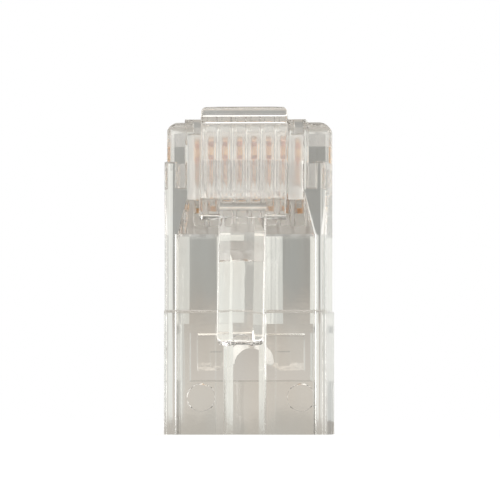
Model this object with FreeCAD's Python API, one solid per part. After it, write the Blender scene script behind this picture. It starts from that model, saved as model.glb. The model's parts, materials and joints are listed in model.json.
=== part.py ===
import FreeCAD, Part
import os

# Eight-position, eight-contact modular plug, as it is supplied: contacts raised, no cable in it.
# Millimetres. +Z is the way the plug goes into its jack, -Y is its latch side, +Y its contact side.
# The origin is the centre of the cable entry, in the plane of the cable end.

# Body, one clear moulding
BODY_LENGTH = 22.0            # cable end to nose
FRONT_LENGTH = 13.3           # nose to the thicker rear section
FRONT_WIDTH = 11.66           # across the contact face
FRONT_LATCH_WIDTH = 11.32     # across the latch face, narrower by the mould's draft
FRONT_DEPTH = 6.5             # latch face to contact face
REAR_WIDTH = 11.8
REAR_LATCH_WIDTH = 11.36
REAR_DEPTH = 8.1
REAR_STEP = 0.3               # the rear section stands this far out of the latch face
LATCH_EDGE_RADIUS = 0.45      # long edges beside the latch face
CONTACT_EDGE_RADIUS = 0.5     # long edges beside the contact face
NOSE_CORNER_RADIUS = 0.85     # corners of the nose, seen from the latch side
NOSE_LEAD_RADIUS = 0.8        # lead-in across the contact side of the nose
REAR_SHOULDER_RADIUS = 0.1    # front edge of the rear section, on its contact side

# Nose corners, cut away on both sides of the latch root, with a pocket inside each side rail
NOSE_BLOCK_WIDTH = 8.45
NOSE_CUT_LENGTH = 2.95
NOSE_CUT_DEPTH = 4.3
NOSE_POCKET_LENGTH = 4.75     # nose to the floor of the pocket
RAIL_THICKNESS = 0.75

# Cable cavity
SIDE_WALL = 0.7               # beside the latch face, where the body is narrowest
LATCH_WALL = 0.8              # behind the latch face
FRONT_CONTACT_WALL = 0.8      # behind the contact face of the front section
REAR_CONTACT_WALL = 0.9       # behind the contact side of the rear section
CAVITY_SETBACK = 8.0          # nose to the end of the cavity, where the funnel starts
CAVITY_CORNER_WIDTH = 8.56    # across the deep part of the front cavity
CAVITY_CORNER_DEPTH = 0.35    # how far the slopes beside that part rise
CAVITY_EDGE_RADIUS = 0.25     # long inner edges
TROUGH_WIDTH = 4.7            # trough in the front cavity, which centres the cable
TROUGH_FLOOR_WIDTH = 0.8
TROUGH_DEPTH = 0.35
FUNNEL_WIDTH = 9.6            # funnel, at the end of the cavity
FUNNEL_SETBACK = 5.0          # nose to the mouths of the wire channels

# Groove along the latch face
GROOVE_WIDTH = 3.0
GROOVE_FLOOR_WIDTH = 1.8
GROOVE_DEPTH = 1.2            # from the latch side of the rear section
GROOVE_WALL = 0.6             # left between the groove and the cavity
GROOVE_SETBACK = 8.6          # nose to the end of the groove
GROOVE_RUNOUT = 1.4           # length of its sloping end

# Contacts and their slots
CONTACT_COUNT = 8
CONTACT_PITCH = 1.016
CONTACT_THICKNESS = 0.35
CONTACT_LENGTH = 3.2          # along the plug
CONTACT_HEIGHT = 3.47         # contact edge to prong tips
CONTACT_CORNER_RADIUS = 0.5
CONTACT_SETBACK = 1.2         # nose to the contact
CONTACT_TRAVEL = 0.88         # pressed in by crimping
CRIMPED_HEIGHT = 6.02         # latch face to contact edge, once crimped
PRONG_COUNT = 3
PRONG_LENGTH = 1.1
PRONG_WIDTH = 0.62
PRONG_POINT = 0.45            # length of the prong's point
SLOT_CLEARANCE = 0.03         # on each face of a contact
SLOT_END_CLEARANCE = 0.05     # at each end of a contact
RIB_GAP = 0.62                # between the ribs that stand beside a contact
RIB_HEIGHT = 1.3
RIB_LENGTH = 4.75
RIB_CREST_RADIUS = 0.17       # rounded crests of the ribs

# Wire channels: round bores that lead into square ones under the contacts
BORE_RADIUS = 0.47
BORE_END_SETBACK = 2.85       # nose to the end of the round bores
CHANNEL_WIDTH = 0.86
CHANNEL_DEPTH = 2.9           # latch face to the middle of the wires
NOSE_WALL = 0.9

# Latch lever, hinged on the nose
HINGE_HEIGHT = 0.35           # latch face to the middle of the hinge
HINGE_SETBACK = 0.15          # nose to the middle of the hinge
HINGE_BEAD_RADIUS = 0.3
HINGE_NECK = 0.3              # thickness of the web that carries the bead
HINGE_CLEARANCE = 0.02
HEAD_WIDTH = 6.02
HEAD_LENGTH = 7.15            # hinge to the locking shoulders
HEAD_NOSE = 0.83              # hinge to the front of the head
HEAD_CROWN = 0.13             # how far the front bulges in its middle
HEAD_CORNER_RADIUS = 0.5
HEAD_FRONT_RADIUS = 0.45      # across the front of the head, on its outer side
HEAD_LIP = 0.15               # how far the head wraps down in front of the hinge
SHOULDER_LENGTH = 1.3
SHOULDER_EXTRA = 0.2          # extra thickness at the shoulders, towards the body
SCOOP_RADIUS = 1.4            # hollow between the shoulders, where the head runs into the lever
LEVER_WIDTH = 3.25
LEVER_TIP = 16.35             # hinge to the tip
LEVER_THICKNESS = 1.1
LEVER_ANGLE = 16.0            # stand-off of the free lever from the latch face
LEVER_CORNER_RADIUS = 0.35
LEVER_EDGE_RADIUS = 0.12      # long outer edges of the head and the lever
LEVER_BEVEL_WIDTH = 0.8       # bevels along its inner side, which let it drop into the groove
LEVER_BEVEL_DEPTH = 0.3
TIP_MARK_RADIUS = 0.7         # half-round mark on the inner side of the tip
TIP_MARK_DEPTH = 0.2

# Jacket strain relief: a hinged flap in a window of the contact side
WINDOW_WIDTH = 8.5
WINDOW_SETBACK = 14.8         # nose to the window
WINDOW_LENGTH = 3.35
WINDOW_DRAFT = 0.12           # how much the window widens outwards, on each side
FLAP_SIDE_GAP = 0.45
FLAP_FREE_GAP = 0.67
FLAP_HINGE_GAP = 0.28
FLAP_HINGE_DEPTH = 0.3        # contact side to the middle of the flap's hinge
FLAP_BEAD_RADIUS = 0.2
FLAP_WEB = 0.25
FLAP_RELIEF = 0.2             # step in the hinged edge that lets the flap turn inwards
FLAP_STAND = 0.3              # how far the flap reaches into the cavity
FLAP_BEVEL = 0.55             # bevel along its free edge, on the inner side
ARCH_RADIUS = 1.15            # notch for the cable jacket
ARCH_HEIGHT = 1.6
ARCH_BASE_WIDTH = 4.3         # where the notch opens at the free edge
ARCH_BEVEL = 0.55             # bevel round the notch, on the inner side
TOOTH_WIDTH = 0.85
TOOTH_LENGTH = 1.05
TOOTH_HEIGHT = 0.3
TOOTH_TAPER = 0.1             # bevel on the tooth, towards the hinge
TOOTH_SPACING = 4.86
TOOTH_SETBACK = 1.3           # hinge to the teeth

# Ejector marks on the contact side
EJECTOR_RADIUS = 0.95
EJECTOR_DEPTH = 0.04
EJECTOR_SPACING = 7.14
EJECTOR_HEIGHT = 2.6          # cable end to the middle of a mark

# Places that follow from the sizes
NOSE_Z = BODY_LENGTH
REAR_TOP_Z = BODY_LENGTH - FRONT_LENGTH
REAR_LATCH_Y = -REAR_DEPTH / 2
REAR_CONTACT_Y = REAR_DEPTH / 2
LATCH_Y = REAR_LATCH_Y + REAR_STEP
CONTACT_Y = LATCH_Y + FRONT_DEPTH
CAVITY_LATCH_Y = LATCH_Y + LATCH_WALL
CAVITY_FRONT_Y = CONTACT_Y - FRONT_CONTACT_WALL
CAVITY_REAR_Y = REAR_CONTACT_Y - REAR_CONTACT_WALL
CAVITY_END_Z = NOSE_Z - CAVITY_SETBACK
CAVITY_WIDTH = FRONT_LATCH_WIDTH - 2 * SIDE_WALL
CAVITY_STEP_Z = REAR_TOP_Z - REAR_CONTACT_WALL
WIRE_Y = LATCH_Y + CHANNEL_DEPTH
CHANNEL_FLOOR_Y = WIRE_Y - CHANNEL_WIDTH / 2
CHANNEL_TOP_Y = WIRE_Y + CHANNEL_WIDTH / 2
CHANNEL_MOUTH_Z = NOSE_Z - FUNNEL_SETBACK
CONTACT_TOP_Z = NOSE_Z - CONTACT_SETBACK
CONTACT_EDGE_Y = LATCH_Y + CRIMPED_HEIGHT + CONTACT_TRAVEL
HINGE_Y = LATCH_Y - HINGE_HEIGHT
HINGE_Z = NOSE_Z - HINGE_SETBACK
WINDOW_TOP_Z = NOSE_Z - WINDOW_SETBACK
WINDOW_BOTTOM_Z = WINDOW_TOP_Z - WINDOW_LENGTH
FLAP_HINGE_Y = REAR_CONTACT_Y - FLAP_HINGE_DEPTH
OVERCUT = 1.0                 # how far a cutting tool reaches past the face it opens
SKIN = 0.1                    # how far it reaches into a cut that it joins


def vec(x, y, z):
    return FreeCAD.Vector(x, y, z)


def box(x_range, y_range, z_range):
    """Box between two limits on each axis."""
    size = [limits[1] - limits[0] for limits in (x_range, y_range, z_range)]
    return Part.makeBox(*size, vec(x_range[0], y_range[0], z_range[0]))


def centred_box(width, y_range, z_range):
    """Box that is symmetrical about the middle plane of the plug."""
    return box((-width / 2, width / 2), y_range, z_range)


def side_prism(points, width, middle=0.0):
    """Outline of (y, z) points, extruded across the plug."""
    corners = [vec(middle - width / 2, y, z) for y, z in points]
    face = Part.Face(Part.makePolygon(corners + corners[:1]))
    return face.extrude(vec(width, 0, 0))


def plan_prism(points, y_range):
    """Outline of (x, z) points, extruded through the depth of the plug."""
    corners = [vec(x, y_range[0], z) for x, z in points]
    face = Part.Face(Part.makePolygon(corners + corners[:1]))
    return face.extrude(vec(0, y_range[1] - y_range[0], 0))


def section_prism(points, z_range):
    """Outline of (x, y) points, extruded along the plug."""
    corners = [vec(x, y, z_range[0]) for x, y in points]
    face = Part.Face(Part.makePolygon(corners + corners[:1]))
    return face.extrude(vec(0, 0, z_range[1] - z_range[0]))


def cross_cylinder(radius, width, y, z):
    """Cylinder whose axis runs across the plug."""
    return Part.makeCylinder(radius, width, vec(-width / 2, y, z), vec(1, 0, 0))


def edges_along(shape, axis, test):
    """Straight edges parallel to an axis whose middle passes the test."""
    found = []
    for edge in shape.Edges:
        start, end = edge.Vertexes[0].Point, edge.Vertexes[-1].Point
        run = end - start
        if run.Length > 1e-6 and abs(run.dot(axis)) > 0.999 * run.Length:
            middle = (start + end) * 0.5
            if test(middle):
                found.append(edge)
    return found


def rounded(shape, radius, axis, test):
    """The shape with a fillet on the edges that pass the test."""
    return shape.makeFillet(radius, edges_along(shape, axis, test))


def near(value, target):
    return abs(value - target) < 1e-4


X_AXIS = vec(1, 0, 0)
Y_AXIS = vec(0, 1, 0)
Z_AXIS = vec(0, 0, 1)


def drafted(latch_width, contact_width, y_range, z_range):
    """Block that is narrower on its latch side, by the mould's draft."""
    latch_half, contact_half = latch_width / 2, contact_width / 2
    outline = [(-latch_half, y_range[0]), (latch_half, y_range[0]),
               (contact_half, y_range[1]), (-contact_half, y_range[1])]
    return section_prism(outline, z_range)


def front_section():
    """Part of the body that enters the jack, with its nose corners cut away."""
    body = drafted(FRONT_LATCH_WIDTH, FRONT_WIDTH, (LATCH_Y, CONTACT_Y), (REAR_TOP_Z - OVERCUT, NOSE_Z))
    body = rounded(body, LATCH_EDGE_RADIUS, Z_AXIS, lambda p: near(p.y, LATCH_Y))
    body = rounded(body, CONTACT_EDGE_RADIUS, Z_AXIS, lambda p: near(p.y, CONTACT_Y))
    body = body.common(nose_outline())
    return body.cut(corner_cut(-1) + corner_cut(1))


def corner_cut(side):
    """Cut beside the latch root: open to the outside at the nose, and a pocket inside the rail."""
    depth = (LATCH_Y - OVERCUT, LATCH_Y + NOSE_CUT_DEPTH)
    inner = side * NOSE_BLOCK_WIDTH / 2
    outer = side * (FRONT_WIDTH / 2 + OVERCUT)
    rail = side * (FRONT_LATCH_WIDTH / 2 - RAIL_THICKNESS)
    corner = box(sorted((inner, outer)), depth, (NOSE_Z - NOSE_CUT_LENGTH, NOSE_Z + OVERCUT))
    pocket = box(sorted((inner, rail)), depth, (NOSE_Z - NOSE_POCKET_LENGTH, NOSE_Z))
    return [corner, pocket]


def nose_outline():
    """Block whose top is the nose: rounded corners and a rounded lead-in on the contact side."""
    block = centred_box(FRONT_WIDTH, (LATCH_Y - OVERCUT, CONTACT_Y), (REAR_TOP_Z - 2 * OVERCUT, NOSE_Z))
    block = rounded(block, NOSE_CORNER_RADIUS, Y_AXIS, lambda p: near(p.z, NOSE_Z))
    lead = centred_box(FRONT_WIDTH + 2 * OVERCUT, (LATCH_Y - OVERCUT, CONTACT_Y),
                       (REAR_TOP_Z - 2 * OVERCUT, NOSE_Z))
    lead = rounded(lead, NOSE_LEAD_RADIUS, X_AXIS, lambda p: near(p.z, NOSE_Z) and near(p.y, CONTACT_Y))
    return block.common(lead)


def rear_section():
    """Thicker and wider part of the body, which stays outside the jack."""
    body = drafted(REAR_LATCH_WIDTH, REAR_WIDTH, (REAR_LATCH_Y, REAR_CONTACT_Y), (0, REAR_TOP_Z))
    body = rounded(body, LATCH_EDGE_RADIUS, Z_AXIS, lambda p: near(p.y, REAR_LATCH_Y))
    body = rounded(body, CONTACT_EDGE_RADIUS, Z_AXIS, lambda p: near(p.y, REAR_CONTACT_Y))
    top_edge = [edge for edge in body.Edges
                if all(near(vertex.Z, REAR_TOP_Z) for vertex in edge.Vertexes)
                and near(edge.CenterOfMass.y, REAR_CONTACT_Y)]
    return body.makeFillet(REAR_SHOULDER_RADIUS, top_edge)


def cable_cavity():
    """Cavity for the cable, open at the cable end and shallower in the front section."""
    profile = [(CAVITY_LATCH_Y, -OVERCUT), (CAVITY_REAR_Y, -OVERCUT), (CAVITY_REAR_Y, CAVITY_STEP_Z),
               (CAVITY_FRONT_Y, CAVITY_STEP_Z), (CAVITY_FRONT_Y, CAVITY_END_Z),
               (CAVITY_LATCH_Y, CAVITY_END_Z)]
    cavity = side_prism(profile, CAVITY_WIDTH)
    cavity = rounded(cavity, CAVITY_EDGE_RADIUS, Z_AXIS,
                     lambda p: near(p.y, CAVITY_LATCH_Y) or near(p.y, CAVITY_REAR_Y))
    rise = CAVITY_CORNER_DEPTH / (CAVITY_WIDTH - CAVITY_CORNER_WIDTH) * 2
    for side in (-1, 1):
        foot = side * CAVITY_CORNER_WIDTH / 2
        end = side * (CAVITY_WIDTH / 2 + OVERCUT)
        slope = section_prism([(foot, CAVITY_FRONT_Y), (end, CAVITY_FRONT_Y - rise * abs(end - foot)),
                               (end, CONTACT_Y), (foot, CONTACT_Y)],
                              (CAVITY_STEP_Z, CAVITY_END_Z + OVERCUT))
        cavity = cavity.cut(slope)
    return cavity.cut(groove_ridge())


def cable_trough():
    """Trough with sloping sides in the contact wall of the front cavity."""
    slope = TROUGH_DEPTH / (TROUGH_WIDTH - TROUGH_FLOOR_WIDTH) * 2
    floor_half = TROUGH_FLOOR_WIDTH / 2
    open_half = TROUGH_WIDTH / 2 + SKIN / slope
    return section_prism([(-open_half, CAVITY_FRONT_Y - SKIN), (open_half, CAVITY_FRONT_Y - SKIN),
                          (floor_half, CAVITY_FRONT_Y + TROUGH_DEPTH),
                          (-floor_half, CAVITY_FRONT_Y + TROUGH_DEPTH)],
                         (CAVITY_STEP_Z - OVERCUT, CAVITY_END_Z))


def groove_ridge():
    """Block inside the cavity that keeps a wall under the latch groove."""
    inner_y = REAR_LATCH_Y + GROOVE_DEPTH + GROOVE_WALL
    return centred_box(GROOVE_WIDTH + 2 * GROOVE_WALL, (REAR_LATCH_Y, inner_y),
                       (-2 * OVERCUT, NOSE_Z - GROOVE_SETBACK + GROOVE_WALL))


def latch_groove():
    """Groove under the lever, from the cable end to a sloping run-out."""
    floor_y = REAR_LATCH_Y + GROOVE_DEPTH
    slope = (GROOVE_WIDTH - GROOVE_FLOOR_WIDTH) / 2 / GROOVE_DEPTH
    top_half = GROOVE_WIDTH / 2 + slope * OVERCUT
    floor_half = GROOVE_FLOOR_WIDTH / 2
    outline = [(-top_half, REAR_LATCH_Y - OVERCUT), (top_half, REAR_LATCH_Y - OVERCUT),
               (floor_half, floor_y), (-floor_half, floor_y)]
    end_z = NOSE_Z - GROOVE_SETBACK
    groove = section_prism(outline, (-OVERCUT, end_z))
    rise = floor_y - LATCH_Y
    reach = rise + OVERCUT
    wedge = side_prism([(floor_y, end_z - GROOVE_RUNOUT), (floor_y, end_z + OVERCUT),
                        (floor_y - reach, end_z + OVERCUT),
                        (floor_y - reach, end_z - GROOVE_RUNOUT + GROOVE_RUNOUT * reach / rise)],
                       2 * GROOVE_WIDTH)
    return groove.cut(wedge)


def wire_funnel():
    """Tapering mouth that gathers the wires into the row of channels."""
    row_half = CONTACT_COUNT * CONTACT_PITCH / 2
    plan = plan_prism([(-FUNNEL_WIDTH / 2, CAVITY_END_Z), (FUNNEL_WIDTH / 2, CAVITY_END_Z),
                       (row_half, CHANNEL_MOUTH_Z), (-row_half, CHANNEL_MOUTH_Z)],
                      (LATCH_Y, CONTACT_Y))
    side = side_prism([(CAVITY_LATCH_Y, CAVITY_END_Z), (CAVITY_FRONT_Y, CAVITY_END_Z),
                       (CHANNEL_TOP_Y, CHANNEL_MOUTH_Z), (CHANNEL_FLOOR_Y, CHANNEL_MOUTH_Z)],
                      FRONT_WIDTH)
    return plan.common(side)


def contact_x(index):
    """Middle of a contact, counted from the -X side."""
    return (index - (CONTACT_COUNT - 1) / 2) * CONTACT_PITCH


def wire_channel(index):
    """Channel that leads one wire under its contact: a round bore, then a square one."""
    middle = contact_x(index)
    half = CHANNEL_WIDTH / 2
    start_z = CHANNEL_MOUTH_Z - SLOT_END_CLEARANCE
    step_z = NOSE_Z - BORE_END_SETBACK
    bore = Part.makeCylinder(BORE_RADIUS, step_z - start_z, vec(middle, WIRE_Y, start_z), Z_AXIS)
    square = box((middle - half, middle + half), (CHANNEL_FLOOR_Y, CHANNEL_TOP_Y),
                 (step_z, NOSE_Z - NOSE_WALL))
    return bore.fuse(square)


def contact_slot(index):
    """Slot that one contact slides in, with the wider gap between the ribs above it."""
    middle = contact_x(index)
    half = CONTACT_THICKNESS / 2 + SLOT_CLEARANCE
    blade = box((middle - half, middle + half), (CHANNEL_FLOOR_Y, CONTACT_Y + OVERCUT),
                (CONTACT_TOP_Z - CONTACT_LENGTH - SLOT_END_CLEARANCE, CONTACT_TOP_Z + SLOT_END_CLEARANCE))
    gap = box((middle - RIB_GAP / 2, middle + RIB_GAP / 2), (CONTACT_Y - RIB_HEIGHT, CONTACT_Y + OVERCUT),
              (NOSE_Z - RIB_LENGTH, NOSE_Z + OVERCUT))
    return blade.fuse([gap, rib_crest(middle, -1), rib_crest(middle, 1)])


def rib_crest(middle, side):
    """Cut that rounds one edge of a gap, along the crest of the rib beside it."""
    edge_x = middle + side * RIB_GAP / 2
    far_x = edge_x + side * RIB_CREST_RADIUS
    low_y = CONTACT_Y - RIB_CREST_RADIUS
    length = RIB_LENGTH + OVERCUT
    start_z = NOSE_Z - RIB_LENGTH
    corner = box(sorted((edge_x - side * SKIN, far_x)), (low_y, CONTACT_Y + SKIN),
                 (start_z, start_z + length))
    return corner.cut(Part.makeCylinder(RIB_CREST_RADIUS, length, vec(far_x, low_y, start_z), Z_AXIS))


def hinge_bead():
    """Bead on a web at the nose, which the latch lever turns on."""
    bead = cross_cylinder(HINGE_BEAD_RADIUS, HEAD_WIDTH, HINGE_Y, HINGE_Z)
    web = centred_box(HEAD_WIDTH, (HINGE_Y, LATCH_Y + OVERCUT),
                      (HINGE_Z - HINGE_NECK / 2, HINGE_Z + HINGE_NECK / 2))
    return bead.fuse(web)


def flap_window():
    """Window for the strain relief, widening outwards, with a rounded seat for its hinge."""
    start_y = CAVITY_REAR_Y - OVERCUT
    end_y = REAR_CONTACT_Y + OVERCUT
    slope = WINDOW_DRAFT / REAR_CONTACT_WALL
    inner = slope * -OVERCUT
    outer = WINDOW_DRAFT + slope * OVERCUT
    half = WINDOW_WIDTH / 2
    across = section_prism([(-half - inner, start_y), (half + inner, start_y),
                            (half + outer, end_y), (-half - outer, end_y)],
                           (WINDOW_BOTTOM_Z - OVERCUT, WINDOW_TOP_Z))
    along = side_prism([(start_y, WINDOW_TOP_Z), (start_y, WINDOW_BOTTOM_Z - inner),
                        (end_y, WINDOW_BOTTOM_Z - outer), (end_y, WINDOW_TOP_Z)], 2 * WINDOW_WIDTH)
    seat = cross_cylinder(FLAP_BEAD_RADIUS + HINGE_CLEARANCE, flap_width() + 2 * HINGE_CLEARANCE,
                          FLAP_HINGE_Y, WINDOW_TOP_Z)
    return across.common(along).fuse(seat)


def ejector_marks():
    """Shallow round marks that the mould's ejector pins leave, with sloping walls."""
    marks = []
    for side in (-1, 1):
        foot = vec(side * EJECTOR_SPACING / 2, REAR_CONTACT_Y - EJECTOR_DEPTH, EJECTOR_HEIGHT)
        depth = EJECTOR_DEPTH + OVERCUT
        marks.append(Part.makeCone(EJECTOR_RADIUS, EJECTOR_RADIUS + depth, depth, foot, Y_AXIS))
    return marks


def housing():
    """Clear body of the plug."""
    body = front_section().fuse(rear_section()).fuse(hinge_bead())
    cuts = [cable_cavity(), cable_trough(), wire_funnel(), latch_groove(), flap_window()]
    cuts += ejector_marks()
    for index in range(CONTACT_COUNT):
        cuts += [wire_channel(index), contact_slot(index)]
    return body.cut(cuts).removeSplitter()


def contact(index):
    """Flat contact blade with a rounded edge towards the jack and pointed prongs towards the wire."""
    low_z = CONTACT_TOP_Z - CONTACT_LENGTH
    shoulder_y = CONTACT_EDGE_Y - CONTACT_HEIGHT + PRONG_LENGTH
    middle = contact_x(index)
    blade = box((middle - CONTACT_THICKNESS / 2, middle + CONTACT_THICKNESS / 2),
                (shoulder_y, CONTACT_EDGE_Y), (low_z, CONTACT_TOP_Z))
    blade = rounded(blade, CONTACT_CORNER_RADIUS, X_AXIS, lambda p: near(p.y, CONTACT_EDGE_Y))
    step = (CONTACT_LENGTH - PRONG_WIDTH) / (PRONG_COUNT - 1)
    for prong in range(PRONG_COUNT):
        start_z = low_z + prong * step
        outline = [(shoulder_y, start_z), (shoulder_y, start_z + PRONG_WIDTH),
                   (shoulder_y - PRONG_LENGTH + PRONG_POINT, start_z + PRONG_WIDTH),
                   (shoulder_y - PRONG_LENGTH, start_z + PRONG_WIDTH / 2),
                   (shoulder_y - PRONG_LENGTH + PRONG_POINT, start_z)]
        blade = blade.fuse(side_prism(outline, CONTACT_THICKNESS, middle))
    return blade.removeSplitter()


def latch_lever():
    """Lever of the latch: a wide head with locking shoulders, and the narrow lever behind it.

    It is drawn straight down from the hinge and then swung out to its free angle.
    """
    inner_y = HINGE_Y
    outer_y = HINGE_Y - LEVER_THICKNESS
    shoulder_z = HINGE_Z - HEAD_LENGTH
    tip_z = HINGE_Z - LEVER_TIP
    half = LEVER_WIDTH / 2
    section = [(-half, outer_y), (half, outer_y), (half, inner_y - LEVER_BEVEL_DEPTH),
               (half - LEVER_BEVEL_WIDTH, inner_y), (LEVER_BEVEL_WIDTH - half, inner_y),
               (-half, inner_y - LEVER_BEVEL_DEPTH)]
    lever = section_prism(section, (tip_z, shoulder_z + OVERCUT))
    lever = rounded(lever, LEVER_CORNER_RADIUS, Y_AXIS, lambda p: near(p.z, tip_z))
    lever = rounded(lever, LEVER_EDGE_RADIUS, Z_AXIS, lambda p: near(p.y, outer_y))
    lever = lever.fuse([latch_head(inner_y, outer_y, shoulder_z), locking_shoulders(inner_y, shoulder_z)])
    seat = cross_cylinder(HINGE_BEAD_RADIUS + HINGE_CLEARANCE, HEAD_WIDTH + OVERCUT, HINGE_Y, HINGE_Z)
    scoop = cross_cylinder(SCOOP_RADIUS, LEVER_WIDTH, inner_y + SCOOP_RADIUS - SHOULDER_EXTRA / 2,
                           shoulder_z + SHOULDER_LENGTH)
    mark = Part.makeCylinder(TIP_MARK_RADIUS, TIP_MARK_DEPTH + OVERCUT,
                             vec(0, inner_y - TIP_MARK_DEPTH, tip_z), Y_AXIS)
    lever = lever.cut([seat, scoop, mark]).removeSplitter()
    lever.rotate(vec(0, HINGE_Y, HINGE_Z), X_AXIS, -LEVER_ANGLE)
    return lever


def latch_head(inner_y, outer_y, shoulder_z):
    """Wide head of the latch, with a crowned front and a lip that wraps down before the hinge."""
    front_z = HINGE_Z + HEAD_NOSE
    head = centred_box(HEAD_WIDTH, (outer_y, inner_y), (shoulder_z, front_z))
    lip = centred_box(HEAD_WIDTH, (outer_y, inner_y + HEAD_LIP), (HINGE_Z + HINGE_BEAD_RADIUS, front_z))
    head = head.fuse(lip).removeSplitter()
    head = rounded(head, HEAD_FRONT_RADIUS, X_AXIS, lambda p: near(p.z, front_z) and near(p.y, outer_y))
    plan = centred_box(HEAD_WIDTH, (outer_y, inner_y + HEAD_LIP), (shoulder_z, front_z))
    plan = rounded(plan, LEVER_EDGE_RADIUS, Z_AXIS, lambda p: near(p.y, outer_y))
    crown_radius = HEAD_WIDTH ** 2 / 8 / HEAD_CROWN
    crown = Part.makeCylinder(crown_radius, 2 * crown_radius,
                              vec(0, -crown_radius, front_z - crown_radius), Y_AXIS)
    corners = centred_box(HEAD_WIDTH, (outer_y, inner_y + HEAD_LIP), (shoulder_z, front_z - HEAD_CROWN / 2))
    corners = rounded(corners, HEAD_CORNER_RADIUS, Y_AXIS, lambda p: near(p.z, front_z - HEAD_CROWN / 2))
    middle = centred_box(HEAD_WIDTH - 2 * HEAD_CORNER_RADIUS, (outer_y, inner_y + HEAD_LIP),
                         (shoulder_z, front_z))
    return head.common(plan).common(crown).common(corners.fuse(middle)).removeSplitter()


def locking_shoulders(inner_y, shoulder_z):
    """Thicker end of the head, whose faces catch behind the edge of the jack."""
    return centred_box(HEAD_WIDTH, (inner_y - SHOULDER_EXTRA, inner_y + SHOULDER_EXTRA),
                       (shoulder_z, shoulder_z + SHOULDER_LENGTH))


def flap_width():
    return WINDOW_WIDTH - 2 * FLAP_SIDE_GAP


def jacket_strain_relief():
    """Flap that is pressed in on the cable jacket: hinge bead, thin web, plate, teeth and an arch."""
    top_z = WINDOW_TOP_Z - FLAP_HINGE_GAP
    bottom_z = WINDOW_BOTTOM_Z + FLAP_FREE_GAP
    inner_y = CAVITY_REAR_Y - FLAP_STAND
    step_y = FLAP_HINGE_Y - FLAP_HINGE_DEPTH
    outline = [(REAR_CONTACT_Y, top_z), (REAR_CONTACT_Y, bottom_z), (inner_y + FLAP_BEVEL, bottom_z),
               (inner_y, bottom_z + FLAP_BEVEL), (inner_y, top_z - FLAP_RELIEF),
               (step_y, top_z - FLAP_RELIEF), (step_y, top_z)]
    flap = side_prism(outline, flap_width())
    web = centred_box(flap_width(), (FLAP_HINGE_Y - FLAP_WEB / 2, FLAP_HINGE_Y + FLAP_WEB / 2),
                      (top_z - FLAP_WEB, WINDOW_TOP_Z))
    bead = cross_cylinder(FLAP_BEAD_RADIUS, flap_width(), FLAP_HINGE_Y, WINDOW_TOP_Z)
    flap = flap.fuse([web, bead, flap_tooth(-1), flap_tooth(1)])
    return flap.cut(jacket_arch(bottom_z)).removeSplitter()


def flap_tooth(side):
    """Tapered tooth on the inner side of the flap."""
    top_z = WINDOW_TOP_Z - TOOTH_SETBACK
    base_y = CAVITY_REAR_Y - FLAP_STAND
    root_y = base_y + FLAP_STAND
    outline = [(root_y, top_z), (base_y, top_z), (base_y - TOOTH_HEIGHT, top_z - TOOTH_TAPER),
               (base_y - TOOTH_HEIGHT, top_z - TOOTH_LENGTH), (root_y, top_z - TOOTH_LENGTH)]
    return side_prism(outline, TOOTH_WIDTH, side * TOOTH_SPACING / 2)


def jacket_arch(bottom_z):
    """Bell-shaped notch in the free edge of the flap, bevelled on the inner side."""
    spring_z = bottom_z + ARCH_HEIGHT - ARCH_RADIUS
    inner_y = CAVITY_REAR_Y - FLAP_STAND
    depth = (inner_y - OVERCUT, REAR_CONTACT_Y + OVERCUT)
    round_top = Part.makeCylinder(ARCH_RADIUS, depth[1] - depth[0], vec(0, depth[0], spring_z), Y_AXIS)
    slope = (ARCH_BASE_WIDTH / 2 - ARCH_RADIUS) / (spring_z - bottom_z)
    base_half = ARCH_BASE_WIDTH / 2 + slope * OVERCUT
    legs = plan_prism([(-ARCH_RADIUS, spring_z), (ARCH_RADIUS, spring_z),
                       (base_half, bottom_z - OVERCUT), (-base_half, bottom_z - OVERCUT)], depth)
    bevel = Part.makeCone(ARCH_RADIUS + ARCH_BEVEL, ARCH_RADIUS, ARCH_BEVEL,
                          vec(0, inner_y, spring_z), Y_AXIS)
    return round_top.fuse([legs, bevel])


def export(shape, name):
    """Check that a piece is one sound solid and write its STEP file."""
    if not shape.isValid() or len(shape.Solids) != 1:
        raise RuntimeError(f"{name}: valid {shape.isValid()}, solids {len(shape.Solids)}")
    shape.Solids[0].exportStep(f"parts/{name}.step")


def main():
    os.makedirs("parts", exist_ok=True)
    export(housing(), "housing")
    export(latch_lever(), "latch_lever")
    export(jacket_strain_relief(), "jacket_strain_relief")
    for index in range(CONTACT_COUNT):
        export(contact(index), f"contact_{index + 1}")


main()
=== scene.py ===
"""Looks of a clear, unterminated eight-contact modular plug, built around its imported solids.

Everything is in metres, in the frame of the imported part: +Z is the way the plug goes into its jack,
-Y is the latch side and +Y the contact side. Only the Bench, where meshes are cut and joined, and the
sizes of the pieces that go there are in millimetres, so that fine edges keep their accuracy.
"""
import json
import logging
import math
from dataclasses import dataclass
from enum import Enum
from typing import Iterable, Sequence

import bmesh
import bpy
import numpy as np
from mathutils import Matrix, Vector


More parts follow.
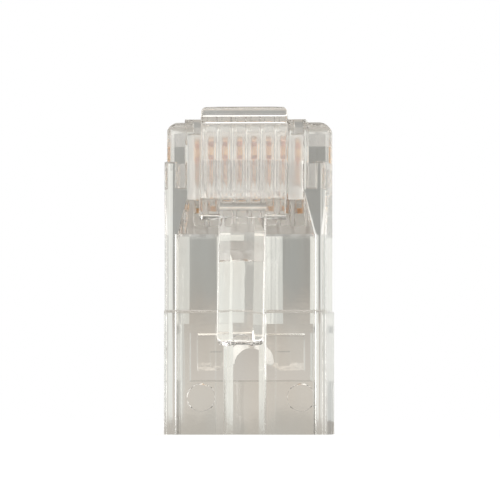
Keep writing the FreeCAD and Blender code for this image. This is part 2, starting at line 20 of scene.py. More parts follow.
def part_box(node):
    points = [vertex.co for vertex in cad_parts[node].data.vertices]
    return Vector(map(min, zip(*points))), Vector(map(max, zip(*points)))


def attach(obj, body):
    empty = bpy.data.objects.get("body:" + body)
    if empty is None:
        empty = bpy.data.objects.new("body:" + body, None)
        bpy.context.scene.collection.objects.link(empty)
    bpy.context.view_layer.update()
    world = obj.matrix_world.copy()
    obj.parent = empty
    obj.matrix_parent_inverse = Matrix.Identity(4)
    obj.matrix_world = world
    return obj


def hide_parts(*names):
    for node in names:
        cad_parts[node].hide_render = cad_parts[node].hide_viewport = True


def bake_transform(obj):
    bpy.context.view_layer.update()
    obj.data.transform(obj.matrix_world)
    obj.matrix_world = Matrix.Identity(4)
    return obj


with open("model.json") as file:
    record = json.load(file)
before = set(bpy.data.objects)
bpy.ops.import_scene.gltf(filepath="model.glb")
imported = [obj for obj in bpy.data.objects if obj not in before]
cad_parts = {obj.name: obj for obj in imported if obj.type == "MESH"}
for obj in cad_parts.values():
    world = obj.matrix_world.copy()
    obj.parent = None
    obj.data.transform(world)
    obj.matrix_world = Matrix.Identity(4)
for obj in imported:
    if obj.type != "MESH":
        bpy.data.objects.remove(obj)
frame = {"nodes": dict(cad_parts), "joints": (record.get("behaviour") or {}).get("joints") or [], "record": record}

LOG = logging.getLogger("plug")
MM = 0.001
Point = tuple[float, float, float]
Colour = tuple[float, float, float, float]
Span = tuple[float, float]
Levels = tuple[tuple[float, float], ...]
WHITE: Colour = (1.0, 1.0, 1.0, 1.0)


class Sum(Enum):
    """What a Math node does with its values."""

    PLUS = "ADD"
    MINUS = "SUBTRACT"
    TIMES = "MULTIPLY"
    ABOVE = "GREATER_THAN"
    BELOW = "LESS_THAN"
    SIZE = "ABSOLUTE"


class Blend(Enum):
    """How two colours are put together."""

    CROSS = "MIX"
    DIM = "MULTIPLY"
    LIGHTER = "LIGHTEN"


class Cut(Enum):
    """How one solid changes another."""

    ADD = "UNION"
    TAKE = "DIFFERENCE"


class Wire:
    """A shader value that takes part in ordinary arithmetic."""

    def __init__(self, sheet: "NodeSheet", socket: bpy.types.NodeSocket) -> None:
        """Keep the sheet that the value belongs to, and its socket."""
        self.sheet = sheet
        self.socket = socket

    def _math(self, step: Sum, *values: object) -> "Wire":
        """Add one Math node.

        Args:
            step: what the node does.
            values: its values in order, each a Wire or a number.

        Returns:
            The node's result.
        """
        node = self.sheet.node("ShaderNodeMath", {"operation": step.value}, dict(enumerate(values)))
        return Wire(self.sheet, node.outputs[0])

    def __add__(self, other: object) -> "Wire":
        """Value plus other."""
        return self._math(Sum.PLUS, self, other)

    def __radd__(self, other: object) -> "Wire":
        """Other plus value."""
        return self._math(Sum.PLUS, other, self)

    def __sub__(self, other: object) -> "Wire":
        """Value minus other."""
        return self._math(Sum.MINUS, self, other)

    def __rsub__(self, other: object) -> "Wire":
        """Other minus value."""
        return self._math(Sum.MINUS, other, self)

    def __mul__(self, other: object) -> "Wire":
        """Value times other."""
        return self._math(Sum.TIMES, self, other)

    def __rmul__(self, other: object) -> "Wire":
        """Other times value."""
        return self._math(Sum.TIMES, other, self)

    def __gt__(self, other: object) -> "Wire":
        """1 where the value is above other, and 0 elsewhere."""
        return self._math(Sum.ABOVE, self, other)

    def __lt__(self, other: object) -> "Wire":
        """1 where the value is below other, and 0 elsewhere."""
        return self._math(Sum.BELOW, self, other)

    def __abs__(self) -> "Wire":
        """The value without its sign."""
        return self._math(Sum.SIZE, self)

    def within(self, span: Span) -> "Wire":
        """1 between the two ends of a span, and 0 outside it."""
        return (self > span[0]) * (self < span[1])


class NodeSheet:
    """A node tree that is being filled in."""

    # sockets of a Mix node that mixes colours
    FIRST_COLOUR = 6
    SECOND_COLOUR = 7
    MIXED_COLOUR = 2

    def __init__(self, tree: bpy.types.NodeTree) -> None:
        """Start the tree empty."""
        self.tree = tree
        tree.nodes.clear()

    def node(self, kind: str, settings: dict | None = None, inputs: dict | None = None) -> bpy.types.Node:
        """Add a node.

        Args:
            kind: the node's type.
            settings: its own settings, set first. "stops" fills a colour ramp.
            inputs: socket name or number to a Wire, a socket or a plain value.

        Returns:
            The new node.
        """
        made = self.tree.nodes.new(kind)
        for name, value in (settings or {}).items():
            if name == "stops":
                self._fill_ramp(made.color_ramp, value)
            else:
                setattr(made, name, value)
        for name, value in (inputs or {}).items():
            socket = made.inputs[name]
            if isinstance(value, Wire):
                self.tree.links.new(value.socket, socket)
            elif isinstance(value, bpy.types.NodeSocket):
                self.tree.links.new(value, socket)
            else:
                socket.default_value = value
        return made

    @staticmethod
    def _fill_ramp(ramp: bpy.types.ColorRamp, stops: Sequence[tuple[float, Colour]]) -> None:
        """Give a colour ramp its stops.

        Args:
            ramp: the ramp to fill.
            stops: (position, colour) pairs, in order.
        """
        while len(ramp.elements) > 1:
            ramp.elements.remove(ramp.elements[-1])
        ramp.elements[0].position, ramp.elements[0].color = stops[0]
        for position, colour in stops[1:]:
            ramp.elements.new(position).color = colour

    def wire(self, socket: bpy.types.NodeSocket) -> Wire:
        """The socket as a value for arithmetic."""
        return Wire(self, socket)

    def axes(self, vector: bpy.types.NodeSocket) -> list[Wire]:
        """The three parts of a vector, as values for arithmetic."""
        return [self.wire(part) for part in self.node("ShaderNodeSeparateXYZ", inputs={0: vector}).outputs]

    def rise(self, value: Wire | bpy.types.NodeSocket, span: Span) -> Wire:
        """A value that climbs from 0 to 1 over a span, and stays level outside it."""
        node = self.node("ShaderNodeMapRange", inputs={
            "Value": value, "From Min": span[0], "From Max": span[1]})
        return self.wire(node.outputs["Result"])

    def shades(self, span: Span, first: Colour, second: Colour, value: Wire) -> bpy.types.NodeSocket:
        """Go from one colour to another.

        Args:
            span: where the first colour ends and where the second one begins.
            first: colour below the span.
            second: colour above it.
            value: the value to look up.

        Returns:
            The colour.
        """
        stops = [(span[0], first), (span[1], second)]
        return self.node("ShaderNodeValToRGB", {"stops": stops}, {"Fac": value}).outputs["Color"]

    def ramp(self, levels: Levels, tone: Colour, value: Wire) -> bpy.types.NodeSocket:
        """Add a ramp of one tone at many levels.

        Args:
            levels: (position, level) pairs, in order.
            tone: colour at full level.
            value: the position to look up.

        Returns:
            The colour.
        """
        stops = [(position, (*(level * part for part in tone[:3]), 1.0)) for position, level in levels]
        return self.node("ShaderNodeValToRGB", {"stops": stops}, {"Fac": value}).outputs["Color"]

    def mix(self, blend: Blend, share: Wire | float, first: bpy.types.NodeSocket,
            second: bpy.types.NodeSocket) -> bpy.types.NodeSocket:
        """Put two colours together.

        Args:
            blend: how they meet.
            share: how far the second one counts.
            first: the colour below.
            second: the colour above.

        Returns:
            The colour that comes out.
        """
        node = self.node("ShaderNodeMix", {"data_type": "RGBA", "blend_type": blend.value}, {
            "Factor": share, self.FIRST_COLOUR: first, self.SECOND_COLOUR: second})
        return node.outputs[self.MIXED_COLOUR]

    def layer(self, share: Wire | bpy.types.NodeSocket, first: bpy.types.Node,
              second: bpy.types.Node) -> bpy.types.Node:
        """Put two shaders together.

        Args:
            share: how far the second one counts.
            first: the shader below.
            second: the shader above.

        Returns:
            The node that mixes them.
        """
        return self.node("ShaderNodeMixShader", inputs={0: share, 1: first.outputs[0], 2: second.outputs[0]})


def new_material(name: str) -> tuple[bpy.types.Material, NodeSheet]:
    """Start a material.

    Args:
        name: the material's name.

    Returns:
        The material and its empty sheet of nodes.
    """
    material = bpy.data.materials.new(name)
    material.use_nodes = True
    return material, NodeSheet(material.node_tree)


@dataclass(frozen=True)
class Grain:
    """A noise in a surface, drawn out along the plug where its scale along it is below 1."""

    scale: float
    detail: float
    roughness: float
    along: float = 1.0

    def on(self, sheet: NodeSheet, place: bpy.types.NodeSocket) -> Wire:
        """Lay the noise over a surface.

        Args:
            sheet: the material's nodes.
            place: Object coordinates.

        Returns:
            The noise, from 0 to 1.
        """
        drawn = sheet.node("ShaderNodeMapping", inputs={"Vector": place, "Scale": (1.0, 1.0, self.along)})
        noise = sheet.node("ShaderNodeTexNoise", inputs={
            "Vector": drawn.outputs[0], "Scale": self.scale, "Detail": self.detail,
            "Roughness": self.roughness})
        return sheet.wire(noise.outputs["Fac"])


@dataclass(frozen=True)
class MattZone:
    """A block of the plug, the same on both sides of its middle, where the plastic looks milky."""

    milk: float
    aside: Span
    depth: Span
    height: Span

    def share(self, aside: Wire, depth: Wire, height: Wire) -> Wire:
        """Find how milky a place is.

        Args:
            aside: distance from the plug's middle plane.
            depth: Y of the place.
            height: Z of the place.

        Returns:
            The zone's share of milk inside it, and 0 outside.
        """
        return self.milk * aside.within(self.aside) * depth.within(self.depth) * height.within(self.height)


@dataclass(frozen=True)
class ClearPolycarbonate:
    """Clear moulded plastic: glossy, faintly warm, with the soft ripple that moulding leaves.

    The mould is matt in two places: on the walls of the wire channels, and in the zones where the
    plastic of the nose and of the latch's head looks a little milky.
    """

    name: str = "clear_polycarbonate"
    light: Colour = (0.982, 0.988, 0.982, 1.0)
    warm: Colour = (0.975, 0.955, 0.925, 1.0)
    warming: Span = (0.35, 0.7)
    nose_start: float = 0.0155
    nose_warmth: float = 0.15
    ior: float = 1.585
    roughness: float = 0.012
    haze: float = 0.03
    ripple: Grain = Grain(420.0, 2.0, 0.4, along=0.35)
    streaks: Grain = Grain(1300.0, 2.0, 0.5, along=0.04)
    grain: Grain = Grain(5200.0, 4.0, 0.6)
    streak_share: float = 0.6
    grain_share: float = 0.04
    ripple_height: float = 0.000012
    channel_depth: Span = (-0.003, 0.0027)
    channel_heights: tuple[Span, Span] = ((0.0168, 0.0191), (0.0203, 0.0216))
    channel_frost: float = 0.22
    channel_milk: float = 0.08
    latch_head: MattZone = MattZone(0.17, (0.0, 0.00425), (-0.0200, -0.0044), (0.0164, 0.0214))
    inner_ribs: MattZone = MattZone(0.06, (0.0, 0.0030), (-0.0044, -0.0030), (0.0164, 0.0209))
    outer_ribs: MattZone = MattZone(0.42, (0.0030, 0.00405), (-0.0044, -0.0030), (0.0164, 0.0209))
    nose_sides: MattZone = MattZone(0.20, (0.0054, 0.0062), (-0.0066, 0.0066), (0.0186, 0.0212))

    def channel_walls(self, depth: Wire, height: Wire) -> Wire:
        """1 on the walls of the wire channels, at two heights of the nose, and 0 elsewhere."""
        low, high = (height.within(span) for span in self.channel_heights)
        return depth.within(self.channel_depth) * (low + high)

    def make(self) -> bpy.types.Material:
        """Build the material.

        Returns:
            The finished material.
        """
        material, sheet = new_material(self.name)
        place = sheet.node("ShaderNodeTexCoord").outputs["Object"]
        across, depth, height = sheet.axes(place)
        flow, drawn, fine = (noise.on(sheet, place) for noise in (self.ripple, self.streaks, self.grain))
        walls = self.channel_walls(depth, height)
        nose = height > self.nose_start
        bump = sheet.node("ShaderNodeBump", inputs={
            "Height": flow + fine * self.grain_share + drawn * self.streak_share,
            "Strength": 1.0, "Distance": self.ripple_height})
        plastic = sheet.node("ShaderNodeBsdfPrincipled", inputs={
            "Base Color": sheet.shades(self.warming, self.light, self.warm, flow + nose * self.nose_warmth),
            "Roughness": self.roughness + fine * self.haze + walls * self.channel_frost,
            "Normal": bump.outputs["Normal"], "IOR": self.ior, "Transmission Weight": 1.0})
        milk = sheet.node("ShaderNodeBsdfDiffuse", inputs={"Color": self.light})
        share = walls * self.channel_milk
        for zone in (self.latch_head, self.inner_ribs, self.outer_ribs, self.nose_sides):
            share = share + zone.share(abs(across), depth, height)
        surface = sheet.layer(share, plastic, milk)
        sheet.node("ShaderNodeOutputMaterial", inputs={"Surface": surface.outputs[0]})
        return material


@dataclass(frozen=True)
class GoldPlate:
    """Thin gold over a rolled copper alloy, with the fine lines of the rolled strip."""

    name: str = "contact_gold"
    gold: Colour = (1.0, 0.63, 0.27, 1.0)
    copper: Colour = (0.97, 0.48, 0.20, 1.0)
    wear: Span = (0.3, 0.75)
    roughness: float = 0.2
    lines: Grain = Grain(9000.0, 3.0, 0.55, along=0.05)
    stain: Grain = Grain(900.0, 3.0, 0.5)
    line_roughness: float = 0.1
    stain_roughness: float = 0.12
    line_height: float = 0.000004

    def make(self) -> bpy.types.Material:
        """Build the material.

        Returns:
            The finished material.
        """
        material, sheet = new_material(self.name)
        place = sheet.node("ShaderNodeTexCoord").outputs["Object"]
        line, patch = (noise.on(sheet, place) for noise in (self.lines, self.stain))
        bump = sheet.node("ShaderNodeBump", inputs={
            "Height": line, "Strength": 1.0, "Distance": self.line_height})
        metal = sheet.node("ShaderNodeBsdfPrincipled", inputs={
            "Base Color": sheet.shades(self.wear, self.gold, self.copper, patch), "Metallic": 1.0,
            "Roughness": patch * self.stain_roughness + line * self.line_roughness + self.roughness,
            "Normal": bump.outputs["Normal"]})
        sheet.node("ShaderNodeOutputMaterial", inputs={"Surface": metal.outputs[0]})
        return material


class Bench:
    """Where meshes are cut, joined, rounded and shaded, in millimetres."""

    MERGE = 1e-4
    MERGE_AFTER_CUT = 1e-3
    FLAT = math.radians(0.5)
    SHARP = math.radians(35)
    WIDE_PULL = 1e6

    @staticmethod
    def place(name: str, mesh: bpy.types.Mesh) -> bpy.types.Object:
        """Put a mesh into the scene.

        Args:
            name: the new object's name.
            mesh: its mesh.

        Returns:
            The new object.
        """
        made = bpy.data.objects.new(name, mesh)
        bpy.context.scene.collection.objects.link(made)
        return made

    @staticmethod
    def copy_of(node: str) -> bpy.types.Object:
        """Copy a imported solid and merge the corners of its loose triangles.

        Args:
            node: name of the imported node.

        Returns:
            A new object with its own mesh.
        """
        source = frame["nodes"][node]
        mesh = source.data.copy()
        mesh.transform(Matrix.Scale(1.0 / MM, 4) @ source.matrix_world)
        work = bmesh.new()
        work.from_mesh(mesh)
        bmesh.ops.remove_doubles(work, verts=work.verts, dist=Bench.MERGE)
        bmesh.ops.dissolve_degenerate(work, edges=work.edges, dist=Bench.MERGE)
        work.to_mesh(mesh)
        work.free()
        return Bench.place(f"{node}_copy", mesh)

    @staticmethod
    def apply(work: bpy.types.Object) -> None:
        """Make a solid's modifiers part of its mesh.

        Args:
            work: the solid that is changed.
        """
        bpy.context.view_layer.update()
        graph = bpy.context.evaluated_depsgraph_get()
        finished = bpy.data.meshes.new_from_object(work.evaluated_get(graph))
        work.modifiers.clear()
        work.data = finished

    @staticmethod
    def join(work: bpy.types.Object, others: Iterable[bpy.types.Object], cut: Cut = Cut.ADD) -> None:
        """Combine solids into one and delete the others.

        Args:
            work: the solid that is changed.
            others: the solids that change it.
            cut: whether they are added or taken away.
        """
        for other in others:
            modifier = work.modifiers.new("combine", "BOOLEAN")
            modifier.operation = cut.value
            modifier.solver = "EXACT"
            modifier.object = other
            Bench.apply(work)
            bpy.data.objects.remove(other)

    @staticmethod
    def soften(work: bpy.types.Object, width: float, segments: int) -> None:
        """Round the sharp edges of a solid by a small radius, as a mould or a die does.

        Args:
            work: the solid that is changed.
            width: width of the rounding.
            segments: number of faces across it.
        """
        mesh = work.data
        flat = bmesh.new()
        flat.from_mesh(mesh)
        bmesh.ops.remove_doubles(flat, verts=flat.verts, dist=Bench.MERGE_AFTER_CUT)
        bmesh.ops.dissolve_limit(flat, angle_limit=Bench.FLAT, verts=flat.verts, edges=flat.edges)
        flat.to_mesh(mesh)
        flat.free()
        bevel = work.modifiers.new("soften", "BEVEL")
        bevel.width = width
        bevel.segments = segments
        bevel.limit_method = "ANGLE"
        bevel.angle_limit = Bench.SHARP
        bevel.miter_outer = "MITER_ARC"
        bevel.use_clamp_overlap = True
        Bench.apply(work)

    @staticmethod
    def shade(mesh: bpy.types.Mesh, rounding: float = 50.0, shallow: float = 9.0, wide: float = 0.35) -> None:
        """Give every corner of a mesh the normal of the smooth surface that it belongs to.

        A wide face keeps its own normal, unless another wide face meets it at less than the shallow
        angle. A narrow one is a facet of a rounding, and takes on the faces round it. A corner's normal is
        the sum of the normals of the faces that meet there and blend, each times the cube of its area.

        Args:
            mesh: the mesh.
            rounding: angle up to which a facet blends with its neighbours, in degrees.
            shallow: angle up to which wide faces blend, in degrees.
            wide: width from which a face is no facet.
        """
        polygons = mesh.polygons
        normal = np.array([face.normal for face in polygons])
        area = np.array([face.area for face in polygons])
        lengths = np.array([(mesh.vertices[a].co - mesh.vertices[b].co).length for a, b in mesh.edge_keys])
        edge_of = np.array([loop.edge_index for loop in mesh.loops])
        starts = np.array([face.loop_start for face in polygons])
        longest = np.maximum.reduceat(lengths[edge_of], starts)
        is_wide = area / np.maximum(longest, 1e-9) > wide
        face_of = np.repeat(np.arange(len(polygons)), [face.loop_total for face in polygons])
        vertex_of = np.array([loop.vertex_index for loop in mesh.loops])
        order = np.argsort(vertex_of, kind="stable")
        face, vertex = face_of[order], vertex_of[order]
        pull = normal * (area ** 3 * np.where(is_wide, Bench.WIDE_PULL, 1.0))[:, None]
        total = pull[face]
        near_cos, far_cos = (math.cos(math.radians(angle)) for angle in (shallow, rounding))
        for step in range(1, int(np.bincount(vertex).max())):
            same = vertex[step:] == vertex[:-step]
            first, second = face[step:], face[:-step]
            meet = (normal[first] * normal[second]).sum(axis=1)
            both = is_wide[first] & is_wide[second]
            close = same & (meet > np.where(both, near_cos, far_cos))
            total[step:] += pull[second] * (close & (both | ~is_wide[first]))[:, None]
            total[:-step] += pull[first] * (close & (both | ~is_wide[second]))[:, None]
        corner = np.empty_like(total)
        corner[order] = total / np.maximum(np.linalg.norm(total, axis=1), 1e-30)[:, None]
        mesh.shade_smooth()
        mesh.normals_split_custom_set(corner.tolist())

    @staticmethod
    def finish(work: bpy.types.Object, name: str, material: bpy.types.Material) -> bpy.types.Object:
        """Shade a solid, bring it to metres, name it and give it its material.

        Args:
            work: the solid.
            name: the finished piece's name.
            material: its finish.

        Returns:
            The same object.
        """
        work.name = name
        work.data.name = name
        Bench.shade(work.data)
        work.data.transform(Matrix.Scale(MM, 4))
        work.data.materials.clear()
        work.data.materials.append(material)
        return work


def tube_surface(middle: Span, radius: float, width: float, steps: int = 32) -> bpy.types.Mesh:
    """A closed cylinder across the plug, as a circle carried along X.

    A point is (u, middle + radius * (cos v, sin v)), u from -width / 2 to width / 2, v round the circle.

    Args:
        middle: (y, z) of the axis.
        radius: radius of the circle.
        width: length along X.
        steps: points round the circle.

    Returns:
        The mesh, in the units of its arguments.
    """
    angle = np.linspace(0.0, 2.0 * np.pi, steps, endpoint=False)
    ring = np.stack([middle[0] + radius * np.cos(angle), middle[1] + radius * np.sin(angle)], axis=1)
    ends = [np.column_stack([np.full(steps, side * width / 2), ring]) for side in (-1, 1)]
    near = np.arange(steps)
    after = np.roll(near, -1)
    sides = np.column_stack([near, after, after + steps, near + steps])
    lids = [near[::-1].tolist(), (near + steps).tolist()]
    mesh = bpy.data.meshes.new("tube")
    mesh.from_pydata(np.concatenate(ends).tolist(), [], sides.tolist() + lids)
    work = bmesh.new()
    work.from_mesh(mesh)
    bmesh.ops.recalc_face_normals(work, faces=work.faces)
    work.to_mesh(mesh)
    work.free()
    return mesh


def block(x: Span, y: Span, z: Span) -> bpy.types.Mesh:
    """A closed box between two limits on each axis: corner (i, j, k) is (x[i], y[j], z[k]).

    Args:
        x: limits across the plug.
        y: limits through its depth.
        z: limits along it.

    Returns:
        The mesh, in the units of its arguments.
    """
    corners = np.stack(np.meshgrid(x, y, z, indexing="ij"), axis=-1).reshape(-1, 3)
    faces = [[0, 1, 3, 2], [4, 6, 7, 5], [0, 4, 5, 1], [2, 3, 7, 6], [0, 2, 6, 4], [1, 5, 7, 3]]
    mesh = bpy.data.meshes.new("block")
    mesh.from_pydata(corners.tolist(), [], faces)
    return mesh


def hinge_of(joint: str) -> Vector:
    """Middle of a joint's hinge, in metres."""
    return Vector(next(each for each in frame["joints"] if each["name"] == joint)["pos_m"])


def body_of(node: str) -> str:
    """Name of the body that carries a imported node."""
    bodies = frame["record"]["behaviour"]["bodies"]
    return next(body for body, nodes in bodies.items() if node in nodes)


@dataclass
class Moulding:
    """The clear moulding: body and latch in one skin, which bends at the latch's root."""

    finish: bpy.types.Material
    edge: float = 0.06
    edge_steps: int = 2
    root_radius: float = 0.36
    root_width: float = 6.0
    root_lean: float = math.radians(13.0)
    bend_start: float = 0.31
    bend_end: float = 0.19

    def build(self) -> bpy.types.Object:
        """Join the body, the latch, a bead at its root and the flap's seat filling, and soften their edges.

        Returns:
            The finished moulding.
        """
        hinge = hinge_of("latch_flex")
        body = Bench.copy_of("housing")
        latch = Bench.copy_of("latch_lever")
        bead = tube_surface((hinge.y / MM, hinge.z / MM), self.root_radius, self.root_width)
        Bench.join(body, [latch, Bench.place("root", bead), StrainRelief.seat_filling()])
        Bench.soften(body, self.edge, self.edge_steps)
        made = Bench.finish(body, "clear_moulding", self.finish)
        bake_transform(made)
        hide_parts("housing", "latch_lever")
        return made


@dataclass
class StrainRelief:
    """The flap that is pressed in on the cable jacket, on its thin living hinge."""

    finish: bpy.types.Material
    edge: float = 0.035
    edge_steps: int = 2
    seat_overlap: float = 0.1
    seat_behind: float = 0.35
    seat_ahead: float = 0.28
    seat_height: float = 0.35
    trim_width: float = 18.0
    trim_reach: float = 1.0
    trim_drop: float = 0.004
    web: float = 0.24

    @classmethod
    def seat_filling(cls) -> bpy.types.Object:
        """Make the block that closes the round seat of the flap's hinge in the body.

        Returns:
            The block, in millimetres.
        """
        hinge = hinge_of("strain_relief_fold") / MM
        low, high = (corner / MM for corner in map(Vector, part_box("jacket_strain_relief")))
        return Bench.place("seat_filling", block(
            (low.x - cls.seat_overlap, high.x + cls.seat_overlap),
            (hinge.y - cls.seat_behind, hinge.y + cls.seat_ahead), (hinge.z, hinge.z + cls.seat_height)))

    def bead_trim(self, hinge: Vector) -> bpy.types.Object:
        """Make the block that takes the bead off the flap, above its hinge.

        Args:
            hinge: middle of the flap's hinge, in millimetres.

        Returns:
            The block, in millimetres.
        """
        return Bench.place("bead_trim", block(
            (-self.trim_width / 2, self.trim_width / 2),
            (hinge.y - self.trim_reach, hinge.y + self.trim_reach),
            (hinge.z - self.trim_drop, hinge.z + self.trim_reach)))

    def build(self) -> bpy.types.Object:
        """Trim the flap and soften its edges.

        Returns:
            The finished flap.
        """
        hinge = hinge_of("strain_relief_fold")
        flap = Bench.copy_of("jacket_strain_relief")
        Bench.join(flap, [self.bead_trim(hinge / MM)], Cut.TAKE)
        Bench.soften(flap, self.edge, self.edge_steps)
        made = Bench.finish(flap, "strain_relief_flap", self.finish)
        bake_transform(made)
        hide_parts("jacket_strain_relief")
        return made


@dataclass
class Contacts:
    """The row of gold-plated contact blades."""

    finish: bpy.types.Material
    edge: float = 0.03
    edge_steps: int = 2

    def build(self) -> list[bpy.types.Object]:
        """Soften each blade's edges and let it ride on its own body.

        Returns:
            The finished blades.
        """
        made = []
        for node in sorted(n for n in frame["nodes"] if n.startswith("contact_")):
            blade = Bench.copy_of(node)
            Bench.soften(blade, self.edge, self.edge_steps)
            piece = Bench.finish(blade, node.replace("contact", "blade"), self.finish)
            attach(piece, body_of(node))
            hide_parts(node)
            made.append(piece)
        return made


@dataclass(frozen=True)
class SoftBox:
    """A rectangular studio lamp, aimed at the middle of the plug."""

    name: str
    place: Point
    size: Span
    power: float
    target: Point = (0.0, 0.0, 0.011)

    def build(self) -> bpy.types.Object:
        """Hang the lamp and aim it.

        Returns:
            The lamp.
        """
        lamp = bpy.data.lights.new(self.name, "AREA")
        lamp.shape = "RECTANGLE"
        lamp.size, lamp.size_y = self.size
        lamp.energy = self.power
        made = bpy.data.objects.new(self.name, lamp)
        made.location = self.place
        aim = Vector(self.target) - Vector(self.place)
        made.rotation_euler = aim.to_track_quat("-Z", "Y").to_euler()
        bpy.context.scene.collection.objects.link(made)
        return made


@dataclass(frozen=True)
class Floor:
    """A plain pale floor. It stays white for the camera, but for a faint shadow close to the plug.

    The clear plastic shows it in one even grey, so that its edges mirror no dark shadow.
    """

    reach: float = 1.5
    drop: float = 0.00001
    paint: Colour = (0.62, 0.61, 0.58, 1.0)
    in_plastic: Colour = (0.50, 0.475, 0.435, 1.0)
    whiteness: float = 1.08
    shadow: float = 0.2
    shadow_fades: Span = (0.06, 0.35)

    def surface(self) -> bpy.types.Mesh:
        """Lay out the floor: a point is (u, v, -drop), with u and v from -reach to reach.

        Returns:
            The mesh.
        """
        edges = np.array([-self.reach, self.reach])
        x, y = np.meshgrid(edges, edges)
        corners = np.stack([x.ravel(), y.ravel(), np.full(x.size, -self.drop)], axis=1)
        mesh = bpy.data.meshes.new("floor")
        mesh.from_pydata(corners.tolist(), [], [[0, 1, 3, 2]])
        return mesh

    def material(self) -> bpy.types.Material:
        """Paint the floor, in one way for each kind of ray.

        Returns:
            The finished material.
        """
        material, sheet = new_material("floor")
        paint = sheet.node("ShaderNodeBsdfDiffuse", inputs={"Color": self.paint})
        white = sheet.node("ShaderNodeEmission", inputs={"Color": WHITE, "Strength": self.whiteness})
        even = sheet.node("ShaderNodeEmission", inputs={"Color": self.in_plastic, "Strength": 1.0})
        ray = sheet.node("ShaderNodeLightPath").outputs
        place = sheet.node("ShaderNodeTexCoord").outputs["Object"]
        away = sheet.node("ShaderNodeVectorMath", {"operation": "LENGTH"}, {0: place}).outputs["Value"]
        camera = sheet.wire(ray["Is Camera Ray"])
        shaded = camera * (1 - sheet.rise(away, self.shadow_fades)) * self.shadow
        plastic = sheet.wire(ray["Is Glossy Ray"]) + sheet.wire(ray["Is Transmission Ray"])
        surface = sheet.layer(camera - shaded, sheet.layer(plastic, paint, even), white)
        sheet.node("ShaderNodeOutputMaterial", inputs={"Surface": surface.outputs[0]})
        return material

    def build(self) -> None:
        """Lay the floor, which is no part of the plug."""
        made = Bench.place("floor", self.surface())
        made.data.materials.append(self.material())


@dataclass(frozen=True)
class Walls:
    """A white background for the camera, and the studio round the plug, which its clear plastic shows.

    The wall behind the plug is grey in the middle, painted shade for the plug's own shadow behind it, and paler
    at the sides, and it has a low tier and a high one. The wall in front is plainer, and a little darker in its
    middle too. Both get darker towards the top. The ceiling has two pale bands, and it shows wherever it is
    lighter than the walls.

    A position on a wall goes from 0 at the far left (-X) to 1 at the far right (+X). A height, as in the
    tiers, the ceiling and the dusk, goes from 0 level with the plug to 1 straight above it.
    """

    low_wall_with_shadow: Levels = (
        # left side
        (0.0, 0.75), (0.20, 0.62), (0.24, 0.50), (0.27, 0.54), (0.30, 0.46), (0.325, 0.54), (0.345, 0.37),
        (0.375, 0.34), (0.405, 0.50), (0.43, 0.58),
        # grey middle, painted shade that stands for the plug's own shadow, and the pale gap beside it
        (0.445, 0.42), (0.455, 0.31), (0.49, 0.21), (0.500, 0.80), (0.518, 0.80), (0.527, 0.50),
        # right side
        (0.545, 0.64), (0.60, 0.66), (0.64, 0.60), (0.68, 0.56), (0.74, 0.52), (0.80, 0.62), (1.0, 0.75))
    high_wall_with_shadow: Levels = (
        # left side
        (0.0, 1.0), (0.06, 0.60), (0.10, 0.90), (0.20, 0.80), (0.28, 0.88), (0.36, 0.85), (0.40, 0.70),
        (0.43, 0.74),
        # grey middle, painted shade that stands for the plug's own shadow
        (0.451, 0.74), (0.46, 0.34), (0.485, 0.29), (0.497, 0.52), (0.51, 0.73),
        # right side
        (0.575, 0.82), (0.62, 0.82), (0.73, 0.70), (0.80, 0.80), (0.93, 0.90), (1.0, 1.0))
    low_tone: Colour = (0.99, 1.0, 0.955, 1.0)
    high_tone: Colour = (1.0, 0.985, 0.945, 1.0)
    tiers_meet: Span = (0.045, 0.06)
    front_wall: Levels = ((0.0, 0.85), (0.3, 0.66), (0.5, 0.55), (0.7, 0.66), (1.0, 0.85))
    front_tone: Colour = (1.0, 0.97, 0.91, 1.0)
    front_meets_back: Span = (-0.15, 0.15)
    ceiling: Levels = (
        (0.003, 0.50), (0.016, 0.40), (0.026, 0.18), (0.088, 0.20),
        # lower pale band
        (0.11, 0.68), (0.24, 0.68), (0.32, 0.26), (0.45, 0.28),
        # upper pale band
        (0.465, 0.68), (0.505, 0.68), (0.52, 0.25), (0.58, 0.18), (0.72, 0.23), (1.0, 0.54))
    ceiling_tone: Colour = (1.0, 0.94, 0.86, 1.0)
    dusk: Levels = ((0.52, 1.0), (0.60, 0.58))
    brightness: float = 1.25

    def room(self, sheet: NodeSheet) -> bpy.types.NodeSocket:
        """Work out the colour of the room in each direction.

        Args:
            sheet: the world's nodes.

        Returns:
            The colour.
        """
        way = sheet.node("ShaderNodeTexCoord").outputs["Generated"]
        sideways, ahead, height = sheet.axes(way)
        across = sideways * 0.5 + 0.5
        # the grey middle of both tiers is painted shade, standing for the plug's own shadow behind it
        low = sheet.ramp(self.low_wall_with_shadow, self.low_tone, across)
        high = sheet.ramp(self.high_wall_with_shadow, self.high_tone, across)
        back = sheet.mix(Blend.CROSS, sheet.rise(height, self.tiers_meet), low, high)
        front = sheet.ramp(self.front_wall, self.front_tone, across)
        walls = sheet.mix(Blend.CROSS, sheet.rise(ahead, self.front_meets_back), front, back)
        dimmed = sheet.mix(Blend.DIM, 1.0, walls, sheet.ramp(self.dusk, WHITE, height))
        ceiling = sheet.ramp(self.ceiling, self.ceiling_tone, height)
        return sheet.mix(Blend.LIGHTER, 1.0, dimmed, ceiling)

    def build(self) -> None:
        """Put the background and the room round the plug."""
        world = bpy.data.worlds.new("studio")
        bpy.context.scene.world = world
        world.use_nodes = True
        sheet = NodeSheet(world.node_tree)
        room = sheet.node("ShaderNodeBackground", inputs={
            "Color": self.room(sheet), "Strength": self.brightness})
        white = sheet.node("ShaderNodeBackground", inputs={"Color": WHITE, "Strength": 1.0})
        shown = sheet.layer(sheet.node("ShaderNodeLightPath").outputs["Is Camera Ray"], room, white)
        sheet.node("ShaderNodeOutputWorld", inputs={"Surface": shown.outputs[0]})


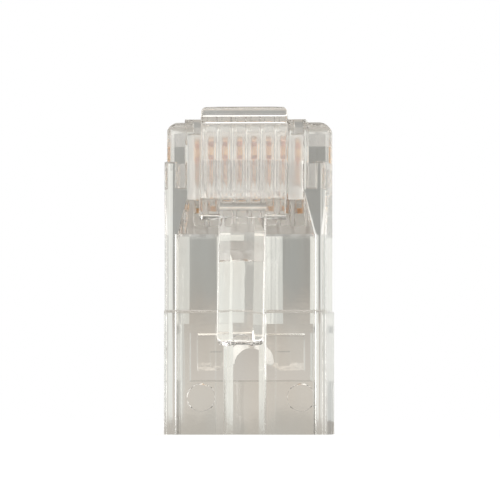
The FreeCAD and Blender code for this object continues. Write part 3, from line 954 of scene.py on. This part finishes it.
@dataclass(frozen=True)
class Camera:
    """A long lens that looks at the latch side, a little from the right and from below."""

    aim: Point = (-0.00005, 0.00275, 0.01307)
    distance: float = 0.400
    azimuth: float = 3.4
    elevation: float = -1.7
    lens: float = 406.08
    sensor: float = 36.0
    clip: Span = (0.01, 10.0)

    def build(self) -> None:
        """Set the camera up and look through it."""
        camera = bpy.data.cameras.new("camera")
        camera.sensor_width = self.sensor
        camera.lens = self.lens
        camera.clip_start, camera.clip_end = self.clip
        made = bpy.data.objects.new("camera", camera)
        turn, lift = math.radians(self.azimuth), math.radians(self.elevation)
        back = Vector((math.sin(turn) * math.cos(lift), -math.cos(turn) * math.cos(lift), math.sin(lift)))
        made.location = Vector(self.aim) + back * self.distance
        made.rotation_euler = (-back).to_track_quat("-Z", "Y").to_euler()
        bpy.context.scene.collection.objects.link(made)
        bpy.context.scene.camera = made


@dataclass(frozen=True)
class Studio:
    """Floor, walls, camera and four soft boxes: one at each side, one above and one in front."""

    boxes: tuple[SoftBox, ...] = (
        SoftBox("left_box", (-0.30, 0.12, 0.06), (0.06, 0.40), 0.20),
        SoftBox("right_box", (0.30, 0.10, 0.06), (0.06, 0.40), 0.25),
        SoftBox("top_box", (0.0, -0.05, 0.40), (0.35, 0.35), 0.80),
        SoftBox("front_box", (0.0, -0.38, 0.25), (0.52, 0.46), 0.76))

    def build(self) -> None:
        """Set up everything round the plug."""
        Floor().build()
        Walls().build()
        for box in self.boxes:
            box.build()
        Camera().build()
        self.quality()

    def quality(self) -> None:
        """Set the colour handling, and enough bounces for light to cross all the clear walls."""
        scene = bpy.context.scene
        scene.view_settings.view_transform = "Standard"
        cycles = scene.cycles
        cycles.max_bounces = 32
        cycles.transmission_bounces = 28
        cycles.glossy_bounces = 12
        cycles.diffuse_bounces = 4
        cycles.use_denoising = True


def report(pieces: Iterable[bpy.types.Object]) -> None:
    """Log each piece with its number of faces."""
    for piece in pieces:
        LOG.info("%s: %d faces", piece.name, len(piece.data.polygons))


def main() -> None:
    """Build the plug's looks and the studio round it."""
    logging.basicConfig(level=logging.INFO, format="%(name)s: %(message)s")
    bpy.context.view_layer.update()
    clear = ClearPolycarbonate().make()
    gold = GoldPlate().make()
    report([Moulding(clear).build()])
    report([StrainRelief(clear).build()])
    report(Contacts(gold).build())
    Studio().build()


if __name__ == "__main__":
    main()
